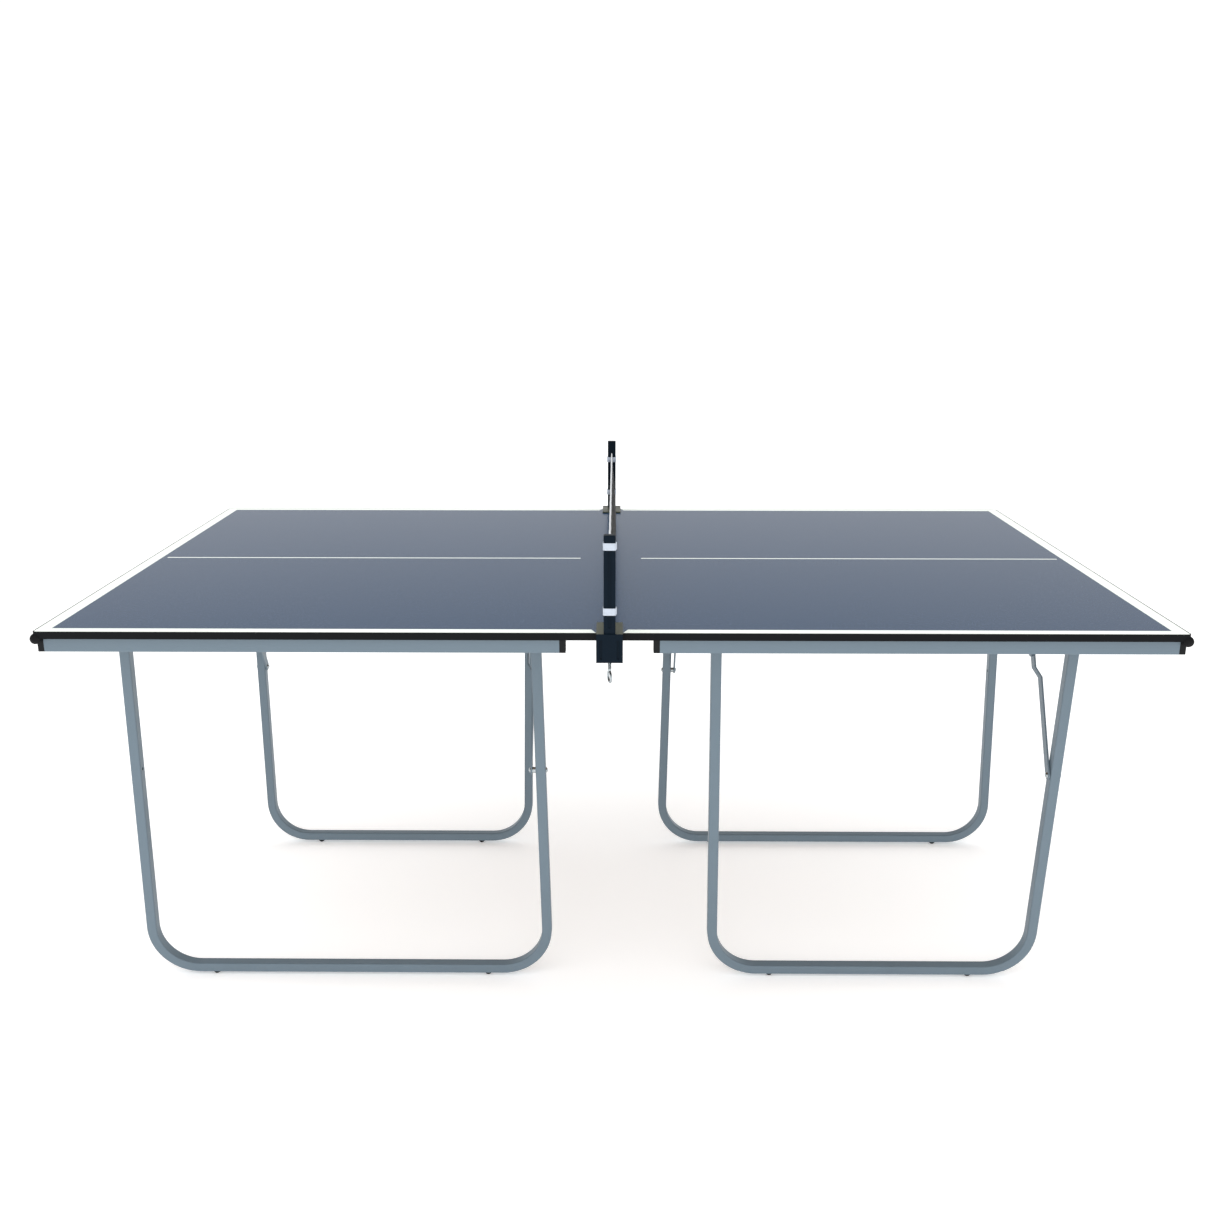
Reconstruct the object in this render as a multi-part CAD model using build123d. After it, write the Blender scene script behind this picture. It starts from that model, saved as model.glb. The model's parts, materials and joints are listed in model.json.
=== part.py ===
from build123d import *
import os
from math import atan2, cos, degrees, hypot, sin

# Mid-size table tennis table: two square halves, each on two folding U-shaped leg frames, with a clamp-on net.
# Origin on the floor under the middle of the table. +X runs along the table, -Y is the near side, +Z is up.
# The right half is the left half turned 180 degrees about Z.

# ---- overall sizes (mm) ----
table_length = 1830.0
table_width = 915.0
table_height = 762.0
board_thickness = 12.0
joint_gap = 1.0  # seam between the two halves
corner_radius = 6.0
band_thickness = 2.0

# ---- apron rails: square-ended steel tube, plugged with plastic caps ----
rail_height = 25.0
rail_depth = 18.0
rail_wall = 1.5
rail_corner = 1.5
rail_setback = 10.0  # from the long edge to the rail's outer face
rail_end_inner = 70.0  # from the joint to the inner cap's face
rail_end_outer = 2.0  # from the table's end to the outer cap's face
cap_length = 10.0
cap_plug_length = 14.0
cap_plug_clearance = 0.2
cross_rail_inset = 2.0  # from the end cap to the cross rail
rail_screw_count = 5
rail_screw_outer_inset = 47.0  # from the outer cap's face to the first screw
rail_screw_inner_inset = 36.0  # from the inner cap's face to the last screw
cross_screw_spread = 250.0  # half of the distance between a cross rail's outer screws
screw_radius = 2.0
screw_head_radius = 5.0
screw_head_height = 2.4
recess_length = 5.0  # the cross in a screw's head
recess_width = 1.1
recess_depth = 1.3
screw_bite = 8.0  # how far a screw runs into the board
screw_clearance = 0.4

# ---- corner bumpers ----
bumper_radius = 9.0
bumper_inset = 4.0  # from the end and the long edge to the bumper's middle
bumper_drop = 12.5  # from the playing surface to the bumper's middle

# ---- alignment pins between the halves ----
pin_radius = 3.0
pin_spread = 300.0
pin_depth = 20.0
pin_reach = 14.0
pin_clearance = 0.1
pin_nose = 1.0
socket_radius = 4.5
socket_extra_depth = 2.0

# ---- leg frames ----
tube_width = 18.5
tube_wall = 1.2
tube_corner = 2.5
bend_radius = 85.0
pivot_drop = 38.0  # from the board's underside to the leg pivots
tube_above_pivot = 10.0
wide_end_inset = 55.0  # from the table's end to the wide frame's outer upright, at its pivot
wide_joint_inset = 132.0  # from the joint to the wide frame's inner upright, at its pivot
wide_splay = 14.0  # how much further out each upright stands at the floor
wide_pivot_y = 262.0  # from the table's middle line
wide_bar_y = 249.0
wide_foot_inset = 116.0  # from the upright's line, at the floor, to the rubber foot
narrow_end_inset = 108.0
narrow_joint_inset = 185.0
narrow_splay = -10.0
narrow_pivot_y = 286.0
narrow_bar_y = 248.0
narrow_foot_inset = 111.0
foot_radius = 7.3
foot_height = 6.0
foot_flat = 1.2  # how much of the rubber button is cut away to stand on
foot_stem_radius = 2.5
foot_stem_length = 4.0

# ---- hinge brackets ----
bracket_wall = 2.0
bracket_ear_width = 24.0
bracket_base_length = 62.0
bracket_side_clearance = 0.8
bracket_screw_spread = 22.0
pivot_radius = 3.0
pivot_clearance = 0.08
bolt_head_radius = 5.5
bolt_head_height = 3.6

# ---- folding stays ----
stay_bolt_distance = 282.0  # from the leg pivot, along the upright
stay_table_distance = 150.0  # from the leg pivot to the stay's pivot under the board
stay_width = 16.0
stay_wall = 3.0
stay_joggle = 10.0
stay_joggle_length = 18.0
stay_joggle_start = 176.0  # along the lower stay, from its bolt
stay_clearance = 0.6
bolt_side_gap = 0.15  # between a stay bolt and the parts it holds
stay_ear_wall = 2.2
stay_ear_width = 20.0
stay_base_width = 26.0
rivet_radius = 3.0
rivet_head_radius = 5.5
rivet_head_height = 2.0

# ---- net and its clamps ----
clamp_width = 42.0
clamp_wall = 16.0
clamp_gap = 0.5
clamp_bottom_drop = 44.0  # from the playing surface to the clamp's underside
clamp_arm_height = 9.0
clamp_arm_length = 34.0
clamp_edge_radius = 1.5
clamp_lip = 1.8  # the lip in front of the jaw plate's edge
clamp_lip_rise = 0.6  # how far the lip stands over the plate
groove_width = 4.0  # the two channels in the clamp's front
groove_depth = 1.5
groove_spread = 13.5
groove_margin = 6.0
jaw_thickness = 3.0
jaw_reach = 47.0
post_width = 18.5
post_depth = 12.0
post_rise = 162.0
post_seat = 27.0  # how far the post goes down into the clamp
post_corner = 2.5
post_front_wall = 2.0
post_groove_width = 5.0
post_groove_depth = 1.0
post_groove_margin = 13.0  # from the playing surface and from the post's top
socket_clearance = 0.15
clamp_screw_radius = 3.0
clamp_screw_inset = 20.0  # from the table's edge to the screw's axis
clamp_screw_shank = 25.0  # from the clamp's underside to the ring
ring_radius = 11.0
ring_wire_radius = 1.9
ring_turn = 15.0  # degrees that the ring is turned from square
pad_radius = 10.0
pad_thickness = 5.0
net_height = 150.0
net_thickness = 2.0
net_bottom_gap = 4.0
net_far_drop = 20.0  # how much lower the net's top is hung at the far post
tape_height = 15.0
tape_thickness = 3.0
strap_thickness = 1.2
strap_height = 11.5
near_strap_drop = 12.0  # from the near post's top to its upper strap
far_strap_drop = 38.0
strap_rise_low = 34.0  # from the playing surface to the lower strap

# ---- worked out from the above ----
half_length = table_length / 2
half_width = table_width / 2
board_bottom = table_height - board_thickness
rail_bottom = board_bottom - rail_height
pivot_height = board_bottom - pivot_drop
bar_height = foot_height + tube_width / 2
screw_length = rail_height + screw_bite
joint_middle_height = board_bottom + board_thickness / 2
socket_depth = pin_reach + socket_extra_depth

os.makedirs("parts", exist_ok=True)


def save(name, *shapes):
    """Write one node from one or more separate solids."""
    solids = []
    for shape in shapes:
        solids.extend(shape.solids())
    node = solids[0] if len(solids) == 1 else Compound(children=solids)
    node.label = name
    export_step(node, f"parts/{name}.step")


def block(x0, x1, y0, y1, z0, z1):
    """A box from its low and high corners."""
    size = (x1 - x0, y1 - y0, z1 - z0)
    middle = ((x0 + x1) / 2, (y0 + y1) / 2, (z0 + z1) / 2)
    return Pos(*middle) * Box(*size)


def rod(start, direction, radius, length):
    """A cylinder from its start point along a direction."""
    plane = Plane(origin=start, z_dir=direction)
    return extrude(plane * Circle(radius), length)


def dome(start, direction, radius, height):
    """A rounded button standing on a plane, made from one spherical cap."""
    ball = (radius**2 + height**2) / (2 * height)
    plane = Plane(origin=start, z_dir=direction)
    cap = Pos(0, 0, height - ball) * Sphere(ball)
    trim = Pos(0, 0, height / 2) * Box(3 * radius, 3 * radius, height)
    return plane.location * (cap & trim)


def turned(shape):
    """A piece of the left half, turned to its place on the right half."""
    return Rot(0, 0, 180) * shape


# ---- table top ----
def top_outline(inset):
    """Plan of one half's top, drawn in by an inset."""
    length = half_length - joint_gap / 2
    middle = -(half_length + joint_gap / 2) / 2
    corner = corner_radius - inset
    return Pos(middle, 0) * RectangleRounded(length - 2 * inset, table_width - 2 * inset, corner)


def joint_holes(radius, depth):
    """The two holes in a half's joint edge."""
    sides = (-pin_spread, pin_spread)
    return [rod((-depth, y, joint_middle_height), (1, 0, 0), radius, depth) for y in sides]


def table_board(hole_radius, hole_depth):
    board = extrude(Pos(0, 0, board_bottom) * top_outline(band_thickness), board_thickness)
    return board - joint_holes(hole_radius, hole_depth)


def edge_band(hole_radius, hole_depth):
    ring = top_outline(0) - top_outline(band_thickness)
    band = extrude(Pos(0, 0, board_bottom) * ring, board_thickness)
    return band - joint_holes(hole_radius, hole_depth)


def joint_pin(side):
    y = side * pin_spread
    length = pin_depth + pin_reach - pin_nose
    shank = rod((-pin_depth, y, joint_middle_height), (1, 0, 0), pin_radius, length)
    tip = Plane(origin=(pin_reach - pin_nose, y, joint_middle_height), z_dir=(1, 0, 0))
    nose = loft([tip * Circle(pin_radius), tip.offset(pin_nose) * Circle(pin_radius - pin_nose)])
    return shank + nose


def joint_socket(side):
    """A bush in the joint edge, written for the left half's frame."""
    start = (-socket_depth, side * pin_spread, joint_middle_height)
    length = socket_depth - joint_gap / 2
    bush = rod(start, (1, 0, 0), socket_radius, length)
    return bush - rod(start, (1, 0, 0), pin_radius + pin_clearance, length)


# ---- apron rails ----
rail_low_x = -half_length + rail_end_outer
rail_high_x = -rail_end_inner
rail_outer_y = half_width - rail_setback
rail_inner_y = rail_outer_y - rail_depth
rail_middle_y = (rail_outer_y + rail_inner_y) / 2
rail_middle_z = (board_bottom + rail_bottom) / 2


def tube_section(width, height, wall, corner):
    return RectangleRounded(width, height, corner) - Rectangle(width - 2 * wall, height - 2 * wall)


def rail_screw_points():
    """Where the screws stand under one half: along the long rails, then along the cross rails."""
    points = []
    first = rail_low_x + rail_screw_outer_inset
    last = rail_high_x - rail_screw_inner_inset
    for number in range(rail_screw_count):
        x = first + (last - first) * number / (rail_screw_count - 1)
        points += [(x, -rail_middle_y), (x, rail_middle_y)]
    for x in cross_rail_x():
        points += [(x, -cross_screw_spread), (x, 0), (x, cross_screw_spread)]
    return points


def cross_rail_x():
    """The middle lines of the outer and inner cross rails."""
    inset = cap_length + cross_rail_inset + rail_depth / 2
    return (rail_low_x + inset, rail_high_x - inset)


def screw_holes():
    radius = screw_radius + screw_clearance
    return [rod((x, y, rail_bottom), (0, 0, 1), radius, rail_height) for x, y in rail_screw_points()]


def long_rail(side):
    section = Plane.YZ * tube_section(rail_depth, rail_height, rail_wall, rail_corner)
    length = rail_high_x - rail_low_x - 2 * cap_length
    start = Pos(rail_low_x + cap_length, side * rail_middle_y, rail_middle_z)
    return start * extrude(section, length, dir=(1, 0, 0)) - screw_holes()


def cross_rail(x):
    section = Plane.XZ * tube_section(rail_depth, rail_height, rail_wall, rail_corner)
    length = 2 * rail_inner_y
    return Pos(x, rail_inner_y, rail_middle_z) * extrude(section, length, dir=(0, -1, 0)) - screw_holes()


def rail_cap(x, direction, side):
    """A plastic plug whose head carries on the rail's shape; direction points into the rail."""
    face = Plane(origin=(x, side * rail_middle_y, rail_middle_z), x_dir=(0, 1, 0), z_dir=(direction, 0, 0))
    head = extrude(face * RectangleRounded(rail_depth, rail_height, rail_corner), cap_length)
    inner = rail_wall + cap_plug_clearance
    plug_outline = Rectangle(rail_depth - 2 * inner, rail_height - 2 * inner)
    return head + extrude(face * plug_outline, cap_length + cap_plug_length)


def rail_screw(x, y):
    shank = rod((x, y, rail_bottom), (0, 0, 1), screw_radius, screw_length)
    head = dome((x, y, rail_bottom), (0, 0, -1), screw_head_radius, screw_head_height)
    return shank + head - Pos(x, y, rail_bottom - screw_head_height) * cross_recess()


def cross_recess():
    """The cross for the screwdriver, on a head that points down."""
    bar = Box(recess_length, recess_width, 2 * recess_depth)
    return bar + Rot(0, 0, 90) * bar


def corner_bumper(side):
    """A rubber knob on the outer corner, moulded round the edge band and the rail's cap."""
    middle = (-half_length + bumper_inset, side * (half_width - bumper_inset), table_height - bumper_drop)
    knob = Pos(*middle) * Sphere(bumper_radius)
    low_y, high_y = sorted((side * rail_inner_y, side * rail_outer_y))
    cap = block(rail_low_x, rail_low_x + cap_length, low_y, high_y, rail_bottom, board_bottom)
    top = extrude(Pos(0, 0, board_bottom) * top_outline(0), board_thickness)
    return knob - cap - top


# ---- leg frames ----
# Each frame is drawn for the near side, in coordinates along the table from the frame's middle (u), inward (v)
# and up from the pivot axis. The stay is on the +u side.
class Frame:
    def __init__(self, end_inset, joint_inset, splay, pivot_y, bar_y, foot_inset):
        outer = half_length - end_inset
        self.middle = (outer + joint_inset) / 2
        self.span_top = (outer - joint_inset) / 2
        self.span_foot = self.span_top + splay
        self.foot_spread = self.span_foot - foot_inset
        self.pivot_y = pivot_y
        self.reach = hypot(pivot_y - bar_y, pivot_height - bar_height)
        self.lean = atan2(pivot_y - bar_y, pivot_height - bar_height)

    def span_at(self, distance):
        """Half of the distance between the uprights, at a distance below the pivots."""
        return self.span_top + (self.span_foot - self.span_top) * distance / self.reach

    def place(self, shape):
        """From the pivot axis to the near side of the table."""
        return Pos(0, -self.pivot_y, pivot_height) * shape

    def leaned(self, shape):
        """From a leg drawn straight down to the leg standing at its lean."""
        return self.place(Rot(degrees(self.lean), 0, 0) * shape)

    def stay_u(self):
        """The face of the lower stay that is nearest to its upright."""
        widest = min(self.span_at(0), self.span_at(stay_bolt_distance))
        return widest - tube_width / 2 - stay_clearance

    def bolt(self):
        """The stay bolt, as inward and up from the pivot axis."""
        return (stay_bolt_distance * sin(self.lean), -stay_bolt_distance * cos(self.lean))

    def stay_lengths(self):
        """Lower and upper stay: straight when the leg stands, folded on each other when it is flat."""
        v, z = self.bolt()
        total = hypot(stay_table_distance - v, z)
        difference = stay_bolt_distance - stay_table_distance
        return ((total + difference) / 2, (total - difference) / 2)


wide = Frame(wide_end_inset, wide_joint_inset, wide_splay, wide_pivot_y, wide_bar_y, wide_foot_inset)
narrow = Frame(
    narrow_end_inset, narrow_joint_inset, narrow_splay, narrow_pivot_y, narrow_bar_y, narrow_foot_inset
)


def leg_tube(frame):
    above = tube_above_pivot
    corners = [
        (-frame.span_at(-above), 0, above),
        (-frame.span_foot, 0, -frame.reach),
        (frame.span_foot, 0, -frame.reach),
        (frame.span_at(-above), 0, above),
    ]
    path = FilletPolyline(*corners, radius=bend_radius)
    start = Plane(origin=path @ 0, x_dir=(0, 1, 0), z_dir=path % 0)
    outside = sweep(start * RectangleRounded(tube_width, tube_width, tube_corner), path=path)
    bore_corner = tube_corner - tube_wall
    bore_width = tube_width - 2 * tube_wall
    bore = sweep(start * RectangleRounded(bore_width, bore_width, bore_corner), path=path)
    tube = outside - bore
    length = 2 * max(frame.span_top, frame.span_foot) + 2 * tube_width
    for distance in (0, stay_bolt_distance):
        tube -= rod((-length / 2, 0, -distance), (1, 0, 0), pivot_radius + pivot_clearance, length)
    for u in (-frame.foot_spread, frame.foot_spread):
        tube -= rod((u, 0, -frame.reach), (0, 0, -1), foot_stem_radius, tube_width)
    return frame.leaned(tube)


def leg_foot(frame, u):
    """A rubber button under the bar, cut flat at the floor, with a stem in the tube's wall."""
    base = (u, 0, -frame.reach - tube_width / 2)
    button = dome(base, (0, 0, -1), foot_radius, foot_height + foot_flat)
    stem = rod(base, (0, 0, 1), foot_stem_radius, foot_stem_length)
    below_floor = block(-half_length, half_length, -half_width, half_width, -2 * foot_height, 0)
    return frame.leaned(button + stem) - below_floor


# ---- hinge brackets under the board ----
bracket_half_width = tube_width / 2 + bracket_side_clearance + bracket_wall


def leg_bracket(frame, side):
    """A folded bracket with an ear on each side of the upright."""
    u = side * frame.span_at(0)
    top = pivot_drop
    half_base = bracket_base_length / 2
    half_ear = bracket_ear_width / 2
    low_u = u - bracket_half_width
    high_u = u + bracket_half_width
    bracket = block(low_u, high_u, -half_base, half_base, top - bracket_wall, top)
    for ear_u in (low_u, high_u - bracket_wall):
        bracket += block(ear_u, ear_u + bracket_wall, -half_ear, half_ear, 0, top)
        bracket += rod((ear_u, 0, 0), (1, 0, 0), half_ear, bracket_wall)
    bracket -= rod((low_u, 0, 0), (1, 0, 0), pivot_radius, high_u - low_u)
    for u_screw, v_screw in leg_bracket_screws(frame, side):
        bracket -= rod((u_screw, v_screw, 0), (0, 0, 1), screw_radius + screw_clearance, top)
    return frame.place(bracket)


def leg_bracket_screws(frame, side):
    u = side * frame.span_at(0)
    return [(u, -bracket_screw_spread), (u, bracket_screw_spread)]


def stay_bracket(frame):
    """An angle whose ear hangs beside the upper stay."""
    top = pivot_drop
    half_ear = stay_ear_width / 2
    low_u, high_u = stay_ear(frame)
    v = stay_table_distance
    ear = block(low_u, high_u, v - half_ear, v + half_ear, 0, top)
    ear += rod((low_u, v, 0), (1, 0, 0), half_ear, stay_ear_wall)
    half_base = bracket_base_length / 2
    base = block(low_u, low_u + stay_base_width, v - half_base, v + half_base, top - stay_ear_wall, top)
    bracket = ear + base - rod((low_u, v, 0), (1, 0, 0), rivet_radius, stay_ear_wall)
    for u_screw, v_screw in stay_bracket_screws(frame):
        bracket -= rod((u_screw, v_screw, 0), (0, 0, 1), screw_radius + screw_clearance, top)
    return frame.place(bracket)


def stay_bracket_screws(frame):
    u = stay_ear(frame)[0] + stay_base_width / 2
    spread = bracket_screw_spread
    return [(u, stay_table_distance - spread), (u, stay_table_distance + spread)]


def bracket_screw(frame, u, v, plate):
    """A short screw up through a bracket's plate into the board."""
    start = (u, v, pivot_drop - plate)
    shank = rod(start, (0, 0, 1), screw_radius, plate + screw_bite)
    head = dome(start, (0, 0, -1), screw_head_radius, screw_head_height)
    recess = Pos(u, v, pivot_drop - plate - screw_head_height) * cross_recess()
    return frame.place(shank + head - recess)


def pivot_bolt(frame, side):
    """A bolt through both ears and the upright, with its cap nut."""
    u = side * frame.span_at(0)
    outward = (side, 0, 0)
    start = u - side * bracket_half_width
    end = u + side * bracket_half_width
    shank = rod((start, 0, 0), outward, pivot_radius, 2 * bracket_half_width)
    head = dome((end, 0, 0), outward, bolt_head_radius, bolt_head_height)
    nut = dome((start, 0, 0), (-side, 0, 0), bolt_head_radius, bolt_head_height)
    return frame.place(shank + head + nut)


# ---- folding stays ----
# Across the frame (u) the lower stay lies nearest to the upright, steps away from it in a joggle, and meets
# the upper stay face to face at the knee. The bracket's ear stands beside the upper stay.
def upper_stay_face(frame):
    """The upper stay's face that looks at the lower stay."""
    return frame.stay_u() - stay_joggle - stay_wall - stay_clearance


def stay_ear(frame):
    """The bracket ear's two faces, beside the upper stay on the upright's side."""
    low = upper_stay_face(frame) + stay_clearance / 2
    return (low, low + stay_ear_wall)


def along_stay(frame, shape):
    """From a stay drawn straight up from its bolt to its place on the standing frame."""
    v, z = frame.bolt()
    tilt = degrees(atan2(stay_table_distance - v, -z))
    return frame.place(Pos(0, v, z) * Rot(-tilt, 0, 0) * shape)


def strap_outline(start, end):
    """A flat bar's outline with round ends, seen square on, upright between two points."""
    bar = Pos(0, (start + end) / 2) * Rectangle(stay_width, end - start)
    return bar + Pos(0, start) * Circle(stay_width / 2) + Pos(0, end) * Circle(stay_width / 2)


def lower_stay(frame):
    lower, _ = frame.stay_lengths()
    face = frame.stay_u()
    ramp_end = stay_joggle_start + stay_joggle_length
    stepped = face - stay_joggle
    profile = [
        (face, -stay_width),
        (face, stay_joggle_start),
        (stepped, ramp_end),
        (stepped, lower + stay_width),
        (stepped - stay_wall, lower + stay_width),
        (stepped - stay_wall, ramp_end),
        (face - stay_wall, stay_joggle_start),
        (face - stay_wall, -stay_width),
    ]
    bar = extrude(Plane.XZ * make_face(Polyline(*profile, close=True)), stay_width / 2, both=True)
    outline = Plane.YZ * strap_outline(0, lower)
    stay = bar & extrude(outline, 2 * frame.span_top, both=True)
    for height, radius in ((0, pivot_radius + pivot_clearance), (lower, rivet_radius)):
        stay -= rod((stepped - stay_wall, 0, height), (1, 0, 0), radius, stay_joggle + stay_wall)
    return along_stay(frame, stay)


def upper_stay(frame):
    """The short stay; the knee rivet's far head is formed on it."""
    lower, upper = frame.stay_lengths()
    face = upper_stay_face(frame)
    outline = Plane.YZ * strap_outline(lower, lower + upper)
    stay = Pos(face - stay_wall, 0, 0) * extrude(outline, stay_wall, dir=(1, 0, 0))
    stay -= rod((face - stay_wall, 0, lower + upper), (1, 0, 0), rivet_radius + pivot_clearance, stay_wall)
    stay += dome((face - stay_wall, 0, lower), (-1, 0, 0), rivet_head_radius, rivet_head_height)
    return along_stay(frame, stay)


def knee_rivet(frame):
    lower, _ = frame.stay_lengths()
    face = frame.stay_u() - stay_joggle
    shank = rod((face - stay_wall, 0, lower), (1, 0, 0), rivet_radius, stay_wall)
    return along_stay(frame, shank + dome((face, 0, lower), (1, 0, 0), rivet_head_radius, rivet_head_height))


def stay_pivot_rivet(frame):
    """The rivet through the bracket's ear and the upper stay."""
    v = stay_table_distance
    ear_face = stay_ear(frame)[1]
    far_face = upper_stay_face(frame) - stay_wall - stay_clearance / 2
    shank = rod((far_face, v, 0), (1, 0, 0), rivet_radius, ear_face - far_face)
    shank += dome((ear_face, v, 0), (1, 0, 0), rivet_head_radius, rivet_head_height)
    shank += dome((far_face, v, 0), (-1, 0, 0), rivet_head_radius, rivet_head_height)
    return frame.place(shank)


def stay_bolt(frame):
    """A bolt through the upright and the lower stay, with a collar between them and a cap nut."""
    v, z = frame.bolt()
    middle = frame.span_at(stay_bolt_distance)
    outside = middle + tube_width / 2 + bolt_side_gap
    inside = middle - tube_width / 2 - bolt_side_gap
    far_face = frame.stay_u() - stay_wall - bolt_side_gap
    shank = rod((far_face, v, z), (1, 0, 0), pivot_radius, outside - far_face)
    collar = rod((frame.stay_u(), v, z), (1, 0, 0), bolt_head_radius, inside - frame.stay_u())
    head = dome((outside, v, z), (1, 0, 0), bolt_head_radius, bolt_head_height)
    nut = dome((far_face, v, z), (-1, 0, 0), bolt_head_radius, bolt_head_height)
    return frame.place(shank + collar + head + nut)


def wide_left(shape):
    """The wide frame stands on the near side of the left half, stay towards the joint."""
    return Pos(-wide.middle, 0, 0) * shape


def narrow_left(shape):
    """The narrow frame stands on the far side of the left half, stay towards the table's end."""
    return Pos(-narrow.middle, 0, 0) * Rot(0, 0, 180) * shape


# ---- net, posts and clamps: drawn for the near side, turned for the far side ----
clamp_face_y = -half_width - clamp_gap
clamp_front_y = clamp_face_y - clamp_wall
clamp_bottom = table_height - clamp_bottom_drop
post_front_y = clamp_front_y + post_front_wall
post_back_y = post_front_y + post_depth
screw_y = -half_width + clamp_screw_inset


def post_outline(grow):
    middle = Pos(0, (post_front_y + post_back_y) / 2)
    return middle * RectangleRounded(post_width + 2 * grow, post_depth + 2 * grow, post_corner)


def front_groove(u, face_y, low, high, width, depth):
    """An upright channel with round ends in a face that looks at the near side."""
    middle = Plane(origin=(u, face_y, (low + high) / 2), x_dir=(0, 0, 1), z_dir=(0, 1, 0))
    return extrude(middle * SlotOverall(high - low, width), depth)


def clamp_body():
    """A C-shaped clamp: a wall outside the table's edge and an arm that reaches under the board."""
    half = clamp_width / 2
    wall = block(-half, half, clamp_front_y, clamp_face_y, clamp_bottom, table_height)
    arm_end = clamp_face_y + clamp_arm_length
    arm = block(-half, half, clamp_face_y, arm_end, clamp_bottom, clamp_bottom + clamp_arm_height)
    body = wall + arm
    body = fillet(body.edges().filter_by(Axis.X).group_by(Axis.Z)[0], clamp_edge_radius)
    lip_top = table_height + jaw_thickness + clamp_lip_rise
    body += block(-half, half, clamp_front_y, clamp_front_y + clamp_lip, table_height, lip_top)
    low, high = clamp_bottom + groove_margin, table_height - groove_margin
    for u in (-groove_spread, groove_spread):
        body -= front_groove(u, clamp_front_y, low, high, groove_width, groove_depth)
    seat = Pos(0, 0, table_height - post_seat) * post_outline(socket_clearance)
    body -= extrude(seat, post_seat)
    body -= rod((0, screw_y, clamp_bottom), (0, 0, 1), clamp_screw_radius + pivot_clearance, clamp_arm_height)
    return body


def jaw_plate():
    """The plate on the playing surface, notched for the post."""
    half = clamp_width / 2
    front = clamp_front_y + clamp_lip
    plate = block(-half, half, front, clamp_face_y + jaw_reach, 0, jaw_thickness)
    plate = fillet(plate.edges().filter_by(Axis.Z).group_by(Axis.Y)[-1], clamp_edge_radius)
    notch = post_width / 2 + socket_clearance
    plate -= block(-notch, notch, front, post_back_y + socket_clearance, 0, jaw_thickness)
    return Pos(0, 0, table_height) * plate


def net_post():
    foot = Pos(0, 0, table_height - post_seat) * post_outline(0)
    post = extrude(foot, post_seat + post_rise)
    post = fillet(post.edges().group_by(Axis.Z)[-1], clamp_edge_radius)
    low = table_height + post_groove_margin
    high = table_height + post_rise - post_groove_margin
    return post - front_groove(0, post_front_y, low, high, post_groove_width, post_groove_depth)


def screw_pad():
    """The pad that the screw presses against the board's underside."""
    return rod((0, screw_y, board_bottom), (0, 0, -1), pad_radius, pad_thickness)


def eye_screw():
    """A screw with a ring to turn it by, under the clamp's arm."""
    ring_top = clamp_bottom - clamp_screw_shank
    shank_low = ring_top - ring_wire_radius
    shank_length = board_bottom - pad_thickness - shank_low
    shank = rod((0, screw_y, shank_low), (0, 0, 1), clamp_screw_radius, shank_length)
    ring = Rot(0, 0, ring_turn) * Rot(0, 90, 0) * Torus(ring_radius - ring_wire_radius, ring_wire_radius)
    return shank + Pos(0, screw_y, ring_top - ring_radius) * ring


def post_strap(low):
    """A band round the post."""
    ring = post_outline(strap_thickness) - post_outline(0)
    return extrude(Pos(0, 0, low) * ring, strap_height)


def hanging(thickness, near_low, near_high, far_low, far_high):
    """An upright strip from post to post, whose edges may fall towards the far post."""
    edge = -post_back_y - strap_thickness
    corners = [(-edge, near_low), (edge, far_low), (edge, far_high), (-edge, near_high)]
    return extrude(Plane.YZ * make_face(Polyline(*corners, close=True)), thickness / 2, both=True)


net_low = table_height + net_bottom_gap
tape_low = net_low + net_height - tape_height


def net_panel():
    return hanging(net_thickness, net_low, tape_low, net_low, tape_low - net_far_drop)


def net_tape():
    far_low = tape_low - net_far_drop
    return hanging(tape_thickness, tape_low, tape_low + tape_height, far_low, far_low + tape_height)


# ---- write the halves ----
def save_half(half, put, hole_radius, hole_depth):
    save(f"{half}_board", put(table_board(hole_radius, hole_depth)))
    save(f"{half}_edge_band", put(edge_band(hole_radius, hole_depth)))
    save(f"{half}_long_rails", *[put(long_rail(side)) for side in (-1, 1)])
    save(f"{half}_cross_rails", *[put(cross_rail(x)) for x in cross_rail_x()])
    ends = [(rail_low_x, 1), (rail_high_x, -1)]
    save(f"{half}_rail_caps", *[put(rail_cap(x, way, side)) for x, way in ends for side in (-1, 1)])
    save(f"{half}_rail_screws", *[put(rail_screw(x, y)) for x, y in rail_screw_points()])
    save(f"{half}_corner_bumpers", *[put(corner_bumper(side)) for side in (-1, 1)])
    brackets = []
    stay_brackets = []
    screws = []
    bolts = []
    for frame, stand in ((wide, wide_left), (narrow, narrow_left)):
        for side in (-1, 1):
            brackets.append(put(stand(leg_bracket(frame, side))))
            bolts.append(put(stand(pivot_bolt(frame, side))))
            for u, v in leg_bracket_screws(frame, side):
                screws.append(put(stand(bracket_screw(frame, u, v, bracket_wall))))
        stay_brackets.append(put(stand(stay_bracket(frame))))
        bolts.append(put(stand(stay_pivot_rivet(frame))))
        for u, v in stay_bracket_screws(frame):
            screws.append(put(stand(bracket_screw(frame, u, v, stay_ear_wall))))
    save(f"{half}_leg_brackets", *brackets)
    save(f"{half}_stay_brackets", *stay_brackets)
    save(f"{half}_bracket_screws", *screws)
    save(f"{half}_pivot_bolts", *bolts)


def save_leg(name, frame, put):
    save(f"{name}_leg_tube", put(leg_tube(frame)))
    save(f"{name}_leg_feet", *[put(leg_foot(frame, u)) for u in (-frame.foot_spread, frame.foot_spread)])
    save(f"{name}_stay_bolt", put(stay_bolt(frame)))
    save(f"{name}_lower_stay", put(lower_stay(frame)))
    save(f"{name}_upper_stay", put(upper_stay(frame)))
    save(f"{name}_knee_rivet", put(knee_rivet(frame)))


def unmoved(shape):
    return shape


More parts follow.
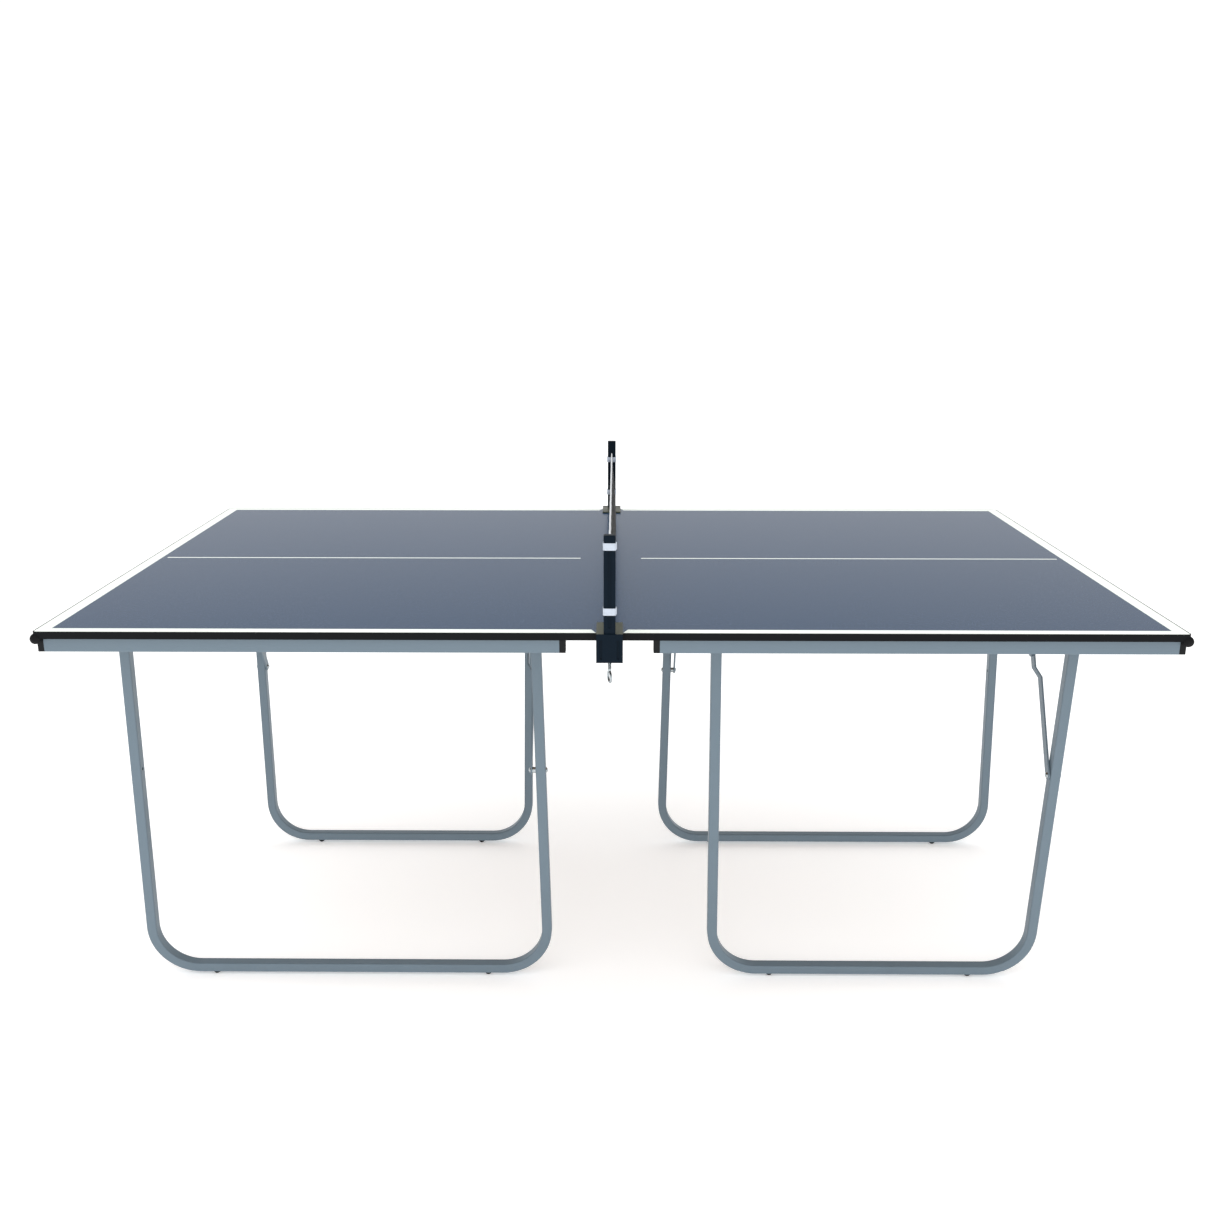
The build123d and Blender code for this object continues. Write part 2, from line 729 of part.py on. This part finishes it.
save_half("left", unmoved, pin_radius, pin_depth)
save_half("right", turned, socket_radius, socket_depth)
save("joint_pins", joint_pin(-1), joint_pin(1))
save("joint_sockets", turned(joint_socket(-1)), turned(joint_socket(1)))

for frame_name, frame, stand in (("wide", wide, wide_left), ("narrow", narrow, narrow_left)):
    save_leg(f"left_{frame_name}", frame, stand)
    save_leg(f"right_{frame_name}", frame, lambda shape, stand=stand: turned(stand(shape)))

save("net_posts", net_post(), turned(net_post()))
save("clamp_bodies", clamp_body(), turned(clamp_body()))
save("clamp_jaw_plates", jaw_plate(), turned(jaw_plate()))
for side_name, put in (("near", unmoved), ("far", turned)):
    save(f"{side_name}_clamp_pad", put(screw_pad()))
    save(f"{side_name}_eye_screw", put(eye_screw()))
low_strap = post_strap(table_height + strap_rise_low)
near_strap = post_strap(table_height + post_rise - near_strap_drop - strap_height)
far_strap = turned(post_strap(table_height + post_rise - far_strap_drop - strap_height))
save("post_straps", near_strap, low_strap, far_strap, turned(low_strap))
save("net", net_panel())
save("net_tape", net_tape())
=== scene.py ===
import json
import math

import bpy
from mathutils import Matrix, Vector


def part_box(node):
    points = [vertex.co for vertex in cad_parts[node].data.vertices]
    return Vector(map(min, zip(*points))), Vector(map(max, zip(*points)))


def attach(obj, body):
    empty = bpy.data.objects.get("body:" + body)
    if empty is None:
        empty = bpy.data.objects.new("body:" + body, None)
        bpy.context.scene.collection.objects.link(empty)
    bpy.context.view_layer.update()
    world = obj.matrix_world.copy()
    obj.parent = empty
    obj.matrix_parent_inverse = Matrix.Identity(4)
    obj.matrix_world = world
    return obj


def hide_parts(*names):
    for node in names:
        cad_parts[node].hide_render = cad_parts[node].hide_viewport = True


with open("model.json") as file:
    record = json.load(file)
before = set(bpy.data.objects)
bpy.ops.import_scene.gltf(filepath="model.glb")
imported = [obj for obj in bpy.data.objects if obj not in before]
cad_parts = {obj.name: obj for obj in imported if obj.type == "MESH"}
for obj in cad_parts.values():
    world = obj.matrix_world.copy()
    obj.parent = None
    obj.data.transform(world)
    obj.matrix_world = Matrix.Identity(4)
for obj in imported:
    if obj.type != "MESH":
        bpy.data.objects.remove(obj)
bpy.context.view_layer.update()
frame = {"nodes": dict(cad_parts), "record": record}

# ---- camera ----
camera_data = bpy.data.cameras.new("camera")
camera_data.sensor_width = 36.0
camera_data.lens = 32.36
camera_data.shift_y = -0.0573
camera_data.clip_start = 0.05
camera = bpy.data.objects.new("camera", camera_data)
camera.location = (0.0088, -2.0898, 1.3213)
camera.rotation_euler = (math.radians(90 - 13.89), 0, math.radians(0.45))
bpy.context.scene.collection.objects.link(camera)
bpy.context.scene.camera = camera


# ---- shader helpers ----
class Shader:
    """One material with a Principled shader and short calls for its nodes."""

    def __init__(self, name):
        self.material = bpy.data.materials.new(name)
        self.material.use_nodes = True
        self.nodes = self.material.node_tree.nodes
        self.links = self.material.node_tree.links
        self.principled = self.nodes["Principled BSDF"]
        self.coords = self.nodes.new("ShaderNodeTexCoord").outputs["Object"]

    def set(self, **values):
        for name, value in values.items():
            self.principled.inputs[name.replace("_", " ")].default_value = value
        return self

    def link(self, source, name):
        self.links.new(source, self.principled.inputs[name])

    def math(self, operation, a, b=0.0):
        node = self.nodes.new("ShaderNodeMath")
        node.operation = operation
        for socket, value in zip(node.inputs, (a, b)):
            if isinstance(value, (int, float)):
                socket.default_value = value
            else:
                self.links.new(value, socket)
        return node.outputs[0]

    def noise(self, scale, detail=3.0, stretch=None):
        node = self.nodes.new("ShaderNodeTexNoise")
        node.inputs["Scale"].default_value = scale
        node.inputs["Detail"].default_value = detail
        source = self.coords
        if stretch is not None:
            mapping = self.nodes.new("ShaderNodeMapping")
            mapping.inputs["Scale"].default_value = stretch
            self.links.new(self.coords, mapping.inputs["Vector"])
            source = mapping.outputs[0]
        self.links.new(source, node.inputs["Vector"])
        return node.outputs["Fac"]

    def bands(self, scale, axis):
        node = self.nodes.new("ShaderNodeTexWave")
        node.wave_type = "BANDS"
        node.bands_direction = axis
        node.inputs["Scale"].default_value = scale
        self.links.new(self.coords, node.inputs["Vector"])
        return node.outputs["Fac"]

    def spread(self, source, low, high):
        """Maps 0..1 to low..high."""
        node = self.nodes.new("ShaderNodeMapRange")
        node.inputs["From Min"].default_value = 0.3
        node.inputs["From Max"].default_value = 0.7
        node.inputs["To Min"].default_value = low
        node.inputs["To Max"].default_value = high
        self.links.new(source, node.inputs["Value"])
        return node.outputs[0]

    def mix(self, factor, a, b):
        node = self.nodes.new("ShaderNodeMix")
        node.data_type = "RGBA"
        self.links.new(factor, node.inputs["Factor"])
        for socket, value in ((node.inputs[6], a), (node.inputs[7], b)):
            if isinstance(value, tuple):
                socket.default_value = (*value, 1.0)
            else:
                self.links.new(value, socket)
        return node.outputs[2]

    def bump(self, height, strength, distance, edge=0.0):
        node = self.nodes.new("ShaderNodeBump")
        node.inputs["Strength"].default_value = strength
        node.inputs["Distance"].default_value = distance
        self.links.new(height, node.inputs["Height"])
        if edge:
            bevel = self.nodes.new("ShaderNodeBevel")
            bevel.samples = 4
            bevel.inputs["Radius"].default_value = edge
            self.links.new(bevel.outputs[0], node.inputs["Normal"])
        self.link(node.outputs[0], "Normal")


def tinted(color, factor):
    return tuple(min(1.0, c * factor) for c in color)


def plain(name, color, roughness, grain, depth, edge=0.0, metallic=0.0, tint=0.12, shine=0.5):
    """A painted, moulded or plated finish: fine grain, uneven gloss and a little uneven tone."""
    shader = Shader(name).set(Metallic=metallic, Specular_IOR_Level=shine)
    patches = shader.noise(22.0, 4.0)
    fine = shader.noise(grain, 2.0)
    shader.link(shader.mix(patches, tinted(color, 1 - tint), tinted(color, 1 + tint)), "Base Color")
    shader.link(shader.spread(patches, roughness - 0.05, roughness + 0.05), "Roughness")
    shader.bump(fine, 0.5, depth, edge)
    return shader


def woven(name, color, pitch, depth):
    """Cloth with threads both ways."""
    shader = Shader(name).set(Sheen_Weight=0.3)
    across = shader.bands(0.5 / pitch, "Y")
    upward = shader.bands(0.5 / pitch, "Z")
    weave = shader.math("MULTIPLY", across, upward)
    soil = shader.noise(60.0, 4.0)
    tone = shader.mix(weave, tinted(color, 0.72), color)
    shader.link(shader.mix(shader.math("MULTIPLY", soil, 0.25), tone, tinted(color, 0.85)), "Base Color")
    shader.set(Roughness=0.85)
    shader.bump(weave, 0.6, depth)
    return shader


# ---- materials ----
board_low, board_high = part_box("left_board")
band_low, band_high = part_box("left_edge_band")
table_end = -band_low.x
table_side = -band_low.y
top = board_high.z

END_LINE = 0.020
SIDE_LINE = 0.015
CENTRE_LINE = 0.0048
CENTRE_START = 0.060
CENTRE_STOP = 0.881
SIDE_STOP = 0.0204
SIDE_SLOPE = 0.47
BAND = 0.0035


def playing_surface():
    """Satin navy paint with white lines on the top face, and raw fibreboard below."""
    shader = Shader("playing_surface")
    split = shader.nodes.new("ShaderNodeSeparateXYZ")
    shader.links.new(shader.coords, split.inputs[0])
    along = shader.math("ABSOLUTE", split.outputs["X"])
    across = shader.math("ABSOLUTE", split.outputs["Y"])

    def beyond(value, limit):
        return shader.math("GREATER_THAN", value, limit)

    def both(a, b):
        return shader.math("MULTIPLY", a, b)

    end_line = beyond(along, table_end - BAND - END_LINE)
    slant = shader.math("MULTIPLY", shader.math("SUBTRACT", table_side, across), SIDE_SLOPE)
    taper = shader.math("SUBTRACT", along, slant)
    side_line = both(beyond(across, table_side - BAND - SIDE_LINE), beyond(taper, SIDE_STOP))
    in_length = both(beyond(along, CENTRE_START), shader.math("LESS_THAN", along, CENTRE_STOP))
    centre_line = both(in_length, shader.math("LESS_THAN", across, CENTRE_LINE / 2))
    lines = shader.math("MAXIMUM", shader.math("MAXIMUM", end_line, side_line), centre_line)
    on_top = beyond(split.outputs["Z"], top - 0.0003)

    speckle = shader.noise(900.0, 2.0)
    clouds = shader.noise(5.0, 4.0)
    navy = shader.mix(speckle, (0.004, 0.030, 0.082), (0.010, 0.050, 0.116))
    navy = shader.mix(shader.math("MULTIPLY", clouds, 0.3), navy, (0.006, 0.035, 0.088))
    white = shader.mix(clouds, (0.80, 0.86, 0.79), (0.88, 0.92, 0.87))
    painted = shader.mix(both(lines, on_top), navy, white)
    fibre = shader.noise(260.0, 5.0, stretch=(1.0, 1.0, 4.0))
    raw = shader.mix(fibre, (0.15, 0.085, 0.045), (0.30, 0.19, 0.11))
    shader.link(shader.mix(on_top, raw, painted), "Base Color")
    gloss = shader.spread(speckle, 0.20, 0.28)
    dull = shader.math("MULTIPLY", shader.math("SUBTRACT", 1.0, on_top), 0.45)
    shader.link(shader.math("ADD", gloss, dull), "Roughness")
    shader.bump(speckle, 0.20, 0.00006)
    return shader.set(Specular_IOR_Level=0.23)


SILVER = (0.140, 0.190, 0.231)
finishes = {
    "playing_surface": playing_surface(),
    "edge_band": plain("edge_band", (0.0025, 0.0033, 0.0045), 0.38, 700.0, 0.00010, 0.0006, shine=0.12),
    "silver_paint": plain("silver_paint", SILVER, 0.42, 900.0, 0.00012, 0.0006, metallic=0.25, tint=0.06),
    "black_plastic": plain("black_plastic", (0.004, 0.005, 0.006), 0.45, 1100.0, 0.00015, 0.0006, shine=0.2),
    "black_rubber": plain("black_rubber", (0.006, 0.006, 0.007), 0.72, 800.0, 0.00015, 0.0005, shine=0.2),
    "zinc": plain("zinc", (0.42, 0.46, 0.48), 0.22, 500.0, 0.00006, 0.0003, metallic=1.0, tint=0.10),
    "navy_plastic": plain(
        "navy_plastic", (0.0020, 0.0075, 0.0150), 0.42, 1300.0, 0.00018, 0.0006, shine=0.08
    ),
    "jaw_plate": plain("jaw_plate", (0.060, 0.066, 0.040), 0.36, 900.0, 0.00010, 0.0005, shine=0.25),
    "white_strap": woven("white_strap", (0.62, 0.69, 0.80), 0.0011, 0.0003),
    "net_mesh": woven("net_mesh", (0.022, 0.021, 0.020), 0.0006, 0.0001),
    "net_tape": woven("net_tape", (0.84, 0.86, 0.88), 0.0009, 0.0002),
}
slot_of = {part["node"]: part["material_slot"] for part in frame["record"]["subparts"]}


def paint(piece, slot):
    piece.data.materials.clear()
    piece.data.materials.append(finishes[slot].material)


for node, piece in frame["nodes"].items():
    paint(piece, slot_of[node])


# ---- mesh helpers ----
class Builder:
    """Collects closed tubes, strips and knots into one mesh."""

    def __init__(self):
        self.points = []
        self.faces = []

    def tube(self, path, radius, normal, sides=6, closed=False):
        """A round cord along a path that stays square to a normal."""
        side_axis = Vector(normal).normalized()
        count = len(path)
        start = len(self.points)
        for number, point in enumerate(path):
            before = path[(number - 1) % count if closed else max(number - 1, 0)]
            after = path[(number + 1) % count if closed else min(number + 1, count - 1)]
            other_axis = (Vector(after) - Vector(before)).normalized().cross(side_axis)
            for step in range(sides):
                angle = 2 * math.pi * step / sides
                offset = side_axis * math.cos(angle) + other_axis * math.sin(angle)
                self.points.append(Vector(point) + offset * radius)
        for number in range(count if closed else count - 1):
            for step in range(sides):
                self.wall(start, number, (number + 1) % count, step, (step + 1) % sides, sides)
        if not closed:
            self.faces.append([start + step for step in range(sides)])
            self.faces.append([start + (count - 1) * sides + step for step in reversed(range(sides))])

    def wall(self, start, row, next_row, step, next_step, sides):
        low, high = start + row * sides, start + next_row * sides
        self.faces.append([low + step, low + next_step, high + next_step, high + step])

    def knot(self, centre, radius):
        """A small faceted ball."""
        start = len(self.points)
        rows = ((-1.0, 0.0, 1), (-0.5, 0.87, 6), (0.5, 0.87, 6), (1.0, 0.0, 1))
        for height, width, count in rows:
            for step in range(count):
                angle = 2 * math.pi * step / count
                offset = Vector((height, width * math.cos(angle), width * math.sin(angle)))
                self.points.append(Vector(centre) + offset * radius)
        for step in range(6):
            following = (step + 1) % 6
            self.faces.append([start, start + 1 + following, start + 1 + step])
            lower, upper = start + 1, start + 7
            self.faces.append([lower + step, lower + following, upper + following, upper + step])
            self.faces.append([start + 13, upper + step, upper + following])

    def ribbon(self, path, outward, low, high, thickness):
        """A flat closed band along a path, with soft edges; outward gives each point's outer side."""
        inset = min(thickness, high - low) * 0.4
        profile = ((0, low + inset), (thickness * 0.3, low), (thickness * 0.7, low), (thickness, low + inset))
        profile += tuple((depth, high + low - height) for depth, height in reversed(profile))
        start = len(self.points)
        sides = len(profile)
        for point, way in zip(path, outward):
            for depth, height in profile:
                self.points.append(Vector((point[0], point[1], height)) + Vector((way[0], way[1], 0)) * depth)
        for number in range(len(path) - 1):
            for step in range(sides):
                self.wall(start, number, number + 1, step, (step + 1) % sides, sides)
        self.faces.append([start + step for step in range(sides)])
        self.faces.append([start + (len(path) - 1) * sides + step for step in reversed(range(sides))])

    def make(self, name, slot, body, *nodes):
        mesh = bpy.data.meshes.new(name)
        mesh.from_pydata([tuple(point) for point in self.points], [], self.faces)
        mesh.update()
        mesh.polygons.foreach_set("use_smooth", [True] * len(mesh.polygons))
        piece = bpy.data.objects.new(name, mesh)
        bpy.context.scene.collection.objects.link(piece)
        bpy.context.view_layer.objects.active = piece
        piece.select_set(True)
        bpy.ops.object.mode_set(mode="EDIT")
        bpy.ops.mesh.select_all(action="SELECT")
        bpy.ops.mesh.normals_make_consistent(inside=False)
        bpy.ops.object.mode_set(mode="OBJECT")
        piece.select_set(False)
        paint(piece, slot)
        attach(piece, body)
        if nodes:
            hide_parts(*nodes)
        return piece


def line(start, end, count):
    return [start + (end - start) * number / (count - 1) for number in range(count)]


# ---- net ----
CORD = 0.0006
MESH_PITCH = 0.0118
BILLOW = 0.011
HEM = 0.012
net_low, net_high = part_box("net")
tape_low, tape_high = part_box("net_tape")


def belly(y, z):
    """How far the slack net stands out of its plane."""
    across = max(0.0, math.cos(math.pi * y / (net_high.y - net_low.y))) ** 0.35
    down = min(1.0, max(0.0, (net_high.z - z) / (net_high.z - net_low.z)))
    return BILLOW * across * (1 - (1 - down) ** 4) * (1 - 0.25 * down)


def fall(y):
    """How far the net's top is hung below its height at the near post."""
    return (net_high.z - tape_low.z) * (y - net_low.y) / (net_high.y - net_low.y)


def sag(y):
    """How far the tape and the net hang below the line between the posts."""
    return 0.0035 * (1 - (2 * y / (net_high.y - net_low.y)) ** 2)


def make_net():
    net = Builder()
    low_y, high_y = net_low.y + HEM / 2, net_high.y - HEM / 2
    columns = round((high_y - low_y) / MESH_PITCH)
    rows = round((net_high.z - net_low.z) / MESH_PITCH)
    ys = line(low_y, high_y, columns + 1)
    zs = line(net_low.z + 2 * CORD, net_high.z, rows + 1)

    def place(y, z, over):
        share = (z - net_low.z) / (net_high.z - net_low.z)
        return (belly(y, z) + over * CORD * 0.55, y, z - (sag(y) + fall(y)) * share)

    for column, y in enumerate(ys):
        net.tube([place(y, z, (-1) ** (column + row)) for row, z in enumerate(zs)], CORD, (1, 0, 0))
    for row, z in enumerate(zs):
        thick = CORD * (1.7 if row == 0 else 1.0)
        net.tube([place(y, z, -((-1) ** (column + row))) for column, y in enumerate(ys)], thick, (1, 0, 0))
        if 0 < row < rows:
            for y in ys:
                net.knot(place(y, z, 0), CORD * 1.9)
    piece = net.make("net_cords", "net_mesh", "left_half", "net")
    return piece


def fold_over(y, low, high, half, wave):
    """Section of a tape folded over the net, as (x, z) points from one free edge to the other."""
    crown = high - half
    left = [(-half + wave, low), (-half, (low + crown) / 2), (-half, crown)]
    arch = [(-half * math.cos(angle), crown + half * math.sin(angle)) for angle in line(0, math.pi, 7)[1:-1]]
    right = [(half, crown), (half, (low + crown) / 2), (half + wave, low)]
    return [(x, z - sag(y) - fall(y)) for x, z in left + arch + right]


def tape_wave(y):
    return 0.00025 * math.sin(95 * y) + 0.0002 * math.sin(41 * y + 1.3)


def make_tape():
    """The white top tape: one woven strip folded over the headline, stitched along its lower edge."""
    cloth = 0.0006
    half = (tape_high.x - tape_low.x) / 2 - cloth
    ys = line(tape_low.y, tape_high.y, 161)
    points = []
    for y in ys:
        section = fold_over(y, net_high.z, tape_high.z - cloth / 2, half, tape_wave(y))
        points += [(x, y, z) for x, z in section]
    sides = len(points) // len(ys)
    faces = []
    for row in range(len(ys) - 1):
        for step in range(sides - 1):
            corner = row * sides + step
            faces.append([corner, corner + 1, corner + sides + 1, corner + sides])
    mesh = bpy.data.meshes.new("net_top_tape")
    mesh.from_pydata(points, [], faces)
    mesh.polygons.foreach_set("use_smooth", [True] * len(mesh.polygons))
    piece = bpy.data.objects.new("net_top_tape", mesh)
    bpy.context.scene.collection.objects.link(piece)
    thicken = piece.modifiers.new("cloth", "SOLIDIFY")
    thicken.thickness = cloth
    thicken.offset = 0
    paint(piece, "net_tape")
    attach(piece, "left_half")
    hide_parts("net_tape")

    stitches = Builder()
    for side in (-1, 1):
        for start in line(tape_low.y + 0.004, tape_high.y - 0.008, 200):
            path = []
            for y, lift in zip(line(start, start + 0.0030, 4), (0.0001, 0.00045, 0.00045, 0.0001)):
                x = side * (half + cloth / 2 + lift) + tape_wave(y) * 0.8
                path.append((x, y, net_high.z + 0.0022 - sag(y) - fall(y)))
            stitches.tube(path, 0.00028, (0, 0, 1), sides=5)
    seam = stitches.make("net_tape_stitches", "net_tape", "left_half")


def make_hems():
    """Dark tapes folded round the net's two ends."""
    for name, side in (("near", -1), ("far", 1)):
        hem = Builder()
        outer = side * (net_high.y - 0.0005)
        inner = side * (net_high.y - HEM)
        path = [(-0.0012, inner), (-0.0014, (inner + outer) / 2), (-0.0010, outer - side * 0.0008)]
        path += [(0, outer), (0.0010, outer - side * 0.0008), (0.0014, (inner + outer) / 2), (0.0012, inner)]
        outward = [(-1, 0), (-1, 0), (-0.7, side * 0.7), (0, side * 0.4), (0.7, side * 0.7), (1, 0), (1, 0)]
        hem.ribbon(path, outward, net_low.z, net_high.z - fall(inner), 0.0006)
        piece = hem.make(f"net_hem_{name}", "net_mesh", "left_half")


# ---- straps round the posts ----
post_low, post_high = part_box("net_posts")
STRAP_HEIGHT = 0.0115
FAR_STRAP_STEP = 0.026  # how much lower the far post's upper strap sits


def strap_path(side, low_y, high_y, half_width, overlap):
    """Points and outward directions once round a post and a little further, over the first layer."""
    corner = 0.0026
    middle = (low_y + high_y) / 2
    half_depth = (high_y - low_y) / 2
    centres = [(half_width - corner, half_depth - corner), (-half_width + corner, half_depth - corner)]
    centres += [(-half_width + corner, -half_depth + corner), (half_width - corner, -half_depth + corner)]
    points, outward = [], []
    for number, (x, y) in enumerate(centres):
        for angle in line(number * math.pi / 2, (number + 1) * math.pi / 2, 5):
            way = (math.cos(angle), math.sin(angle))
            points.append((x + corner * way[0], y + corner * way[1]))
            outward.append(way)
    start = (half_width, -half_depth + corner + 0.001)
    end = (half_width, half_depth - corner - 0.0002)
    points = [(half_width, 0.0)] + points + [start, (half_width, -0.001), (half_width, 0.0008), end]
    outward = [(1, 0)] + outward + [(1, 0)] * 4
    lifts = [0.0] * (len(points) - 3) + [0.0002, overlap, overlap]
    turned = [(side * (x + lift), middle + y) for (x, y), lift in zip(points, lifts)]
    ways = [(side * x, y) for x, y in outward]
    return turned, ways


def make_straps():
    strap_low, strap_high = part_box("post_straps")
    height = STRAP_HEIGHT
    thickness = 0.0009
    half_width = (post_high.x - post_low.x) / 2 + 0.0002
    for end, side in (("near", -1), ("far", 1)):
        edge_y = side * post_high.y
        inner_y = side * (post_high.y - 0.012)
        low_y, high_y = sorted((edge_y + side * 0.0002, inner_y - side * 0.0002))
        upper = strap_high.z - height - (FAR_STRAP_STEP if end == "far" else 0)
        for name, low in (("low", strap_low.z), ("high", upper)):
            strap = Builder()
            points, outward = strap_path(-side, low_y, high_y, half_width, thickness * 1.1)
            strap.ribbon(points, outward, low, low + height, thickness)
            piece = strap.make(f"strap_{end}_{name}", "white_strap", "left_half")
    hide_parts("post_straps")


# ---- clamp screws with a rolled thread and a bent eye ----
THREAD_PITCH = 0.0015
THREAD_DEPTH = 0.0008
THREAD_RELIEF = 0.0002  # how much thinner the plain shank is than the thread's crest
RING_TURN = 15.0  # degrees that the eye is turned from square


def make_eye_screw(end):
    node = f"{end}_eye_screw"
    low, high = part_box(node)
    axis_y = (low.y + high.y) / 2
    wire = 0.0019
    ring = 0.0091
    ring_centre = low.z + ring + wire
    shank_low = ring_centre + ring - 0.0004
    crest = 0.003
    screw = Builder()
    sides, per_turn = 28, 8
    rows = round((high.z - shank_low) / THREAD_PITCH * per_turn)
    start = len(screw.points)
    for row, z in enumerate(line(shank_low, high.z, rows + 1)):
        fade = min(1.0, max(0.0, (z - shank_low - 0.004) / 0.002), (high.z - z) / 0.001)
        for step in range(sides):
            angle = 2 * math.pi * step / sides
            phase = ((z - shank_low) / THREAD_PITCH - step / sides) % 1.0
            ridge = abs(2 * phase - 1)
            groove = THREAD_DEPTH * min(1.0, max(0.0, 1.3 * ridge - 0.1))
            radius = crest - THREAD_RELIEF - fade * (groove - THREAD_RELIEF)
            screw.points.append(Vector((radius * math.cos(angle), axis_y + radius * math.sin(angle), z)))
    for row in range(rows):
        for step in range(sides):
            screw.wall(start, row, row + 1, step, (step + 1) % sides, sides)
    screw.faces.append([start + step for step in range(sides)])
    screw.faces.append([start + rows * sides + step for step in reversed(range(sides))])
    turn = math.radians(RING_TURN)
    normal = Vector((math.cos(turn), math.sin(turn), 0))
    flat = Vector((-math.sin(turn), math.cos(turn), 0))
    path = []
    for angle in line(math.radians(90), math.radians(90 + 348), 49):
        in_plane = flat * (ring * math.cos(angle)) + Vector((0, 0, ring * math.sin(angle)))
        path.append(Vector((0, axis_y, ring_centre)) + in_plane)
    neck = [Vector((0, axis_y, ring_centre + ring + extra)) for extra in (0.0032, 0.0016)]
    screw.tube(neck + path, wire, normal, sides=14)
    screw.make(f"{end}_eye_screw_threaded", "zinc", node, node)


make_net()
make_tape()
make_hems()
make_straps()
make_eye_screw("near")
make_eye_screw("far")


# ---- stage and light ----
def stage_floor():
    mesh = bpy.data.meshes.new("floor")
    reach = 14.0
    corners = [(-reach, -reach, 0), (reach, -reach, 0), (reach, reach, 0), (-reach, reach, 0)]
    mesh.from_pydata(corners, [], [[0, 1, 2, 3]])
    floor = bpy.data.objects.new("floor", mesh)
    bpy.context.scene.collection.objects.link(floor)
    shader = Shader("floor").set(Roughness=0.9, Specular_IOR_Level=0.0, Emission_Strength=0.22)
    shader.principled.inputs["Base Color"].default_value = (0.96, 0.96, 0.96, 1.0)
    mesh.materials.append(shader.material)


def softbox(name, location, target, size, power):
    data = bpy.data.lights.new(name, "AREA")
    data.shape = "RECTANGLE"
    data.size, data.size_y = size
    data.energy = power
    lamp = bpy.data.objects.new(name, data)
    lamp.location = location
    lamp.rotation_euler = (Vector(target) - Vector(location)).to_track_quat("-Z", "Y").to_euler()
    bpy.context.scene.collection.objects.link(lamp)


ROOM_SOFT = 1.05  # the soft light from all around
ROOM_LEVEL = 1.15  # what a reflection sees at the horizon
ROOM_BEHIND = 0.2  # how much brighter that is behind the table
ROOM_OVERHEAD = -1.6  # and how it falls off towards the ceiling
stage_floor()
world = bpy.data.worlds.new("studio")
world.use_nodes = True
nodes, links = world.node_tree.nodes, world.node_tree.links
room = nodes["Background"]


def room_math(operation, a, b):
    node = nodes.new("ShaderNodeMath")
    node.operation = operation
    for socket, value in zip(node.inputs, (a, b)):
        if isinstance(value, (int, float)):
            socket.default_value = value
        else:
            links.new(value, socket)
    return node.outputs[0]


# Reflections see a room that is bright near the horizon and dark overhead; soft light comes from all around.
way = nodes.new("ShaderNodeSeparateXYZ")
links.new(nodes.new("ShaderNodeTexCoord").outputs["Generated"], way.inputs[0])
behind = room_math("MULTIPLY", way.outputs["Y"], ROOM_BEHIND)
overhead = room_math("MULTIPLY", room_math("ABSOLUTE", way.outputs["Z"], 0), ROOM_OVERHEAD)
seen = room_math("ADD", room_math("ADD", behind, overhead), ROOM_LEVEL)
light_path = nodes.new("ShaderNodeLightPath")
reflected = room_math("MULTIPLY", light_path.outputs["Is Glossy Ray"], room_math("SUBTRACT", seen, ROOM_SOFT))
links.new(room_math("ADD", reflected, ROOM_SOFT), room.inputs["Strength"])
room.inputs["Color"].default_value = (1.0, 1.0, 1.0, 1.0)
bpy.context.scene.world = world
bpy.context.scene.view_settings.view_transform = "Standard"
softbox("key", (-0.8, -1.4, 4.0), (0, -0.4, 0.0), (5.0, 5.0), 50)
softbox("fill", (0.0, -4.2, 2.2), (0, 0, 0.5), (3.0, 2.0), 25)
